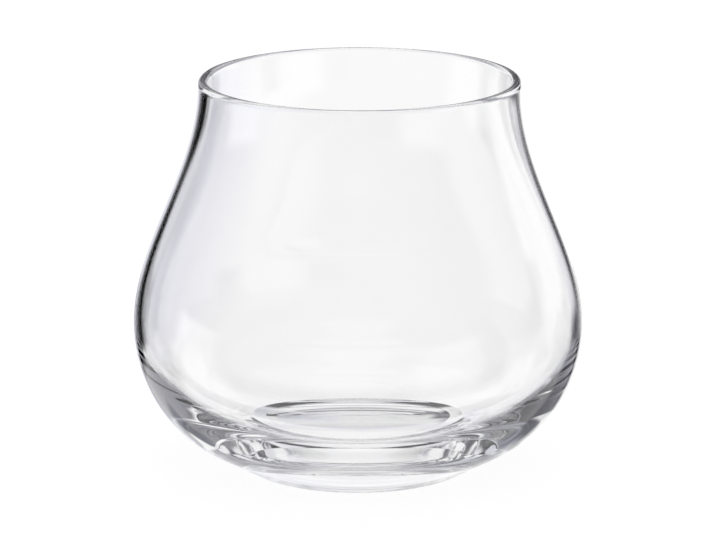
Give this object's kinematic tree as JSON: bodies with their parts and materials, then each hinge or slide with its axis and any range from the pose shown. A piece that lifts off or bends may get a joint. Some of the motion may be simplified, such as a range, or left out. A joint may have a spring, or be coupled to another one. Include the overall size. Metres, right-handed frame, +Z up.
{
  "type": "tumbler glass",
  "caption": "Stemless clear drinking glass with a round belly, a drawn-in neck, a plain rounded lip and a heavy solid base that stands on a flat ring.",
  "frame": {"origin": "centre of the flat ring that the glass stands on", "axes": "+Z up along the axis of revolution, from the foot to the mouth"},
  "size_m": [0.1, 0.1, 0.0873],
  "materials": {
    "clear_glass": "fire polished, clear"
  },
  "bodies": {
    "root": {"bowl": "clear_glass", "base": "clear_glass"}
  },
  "joints": []
}
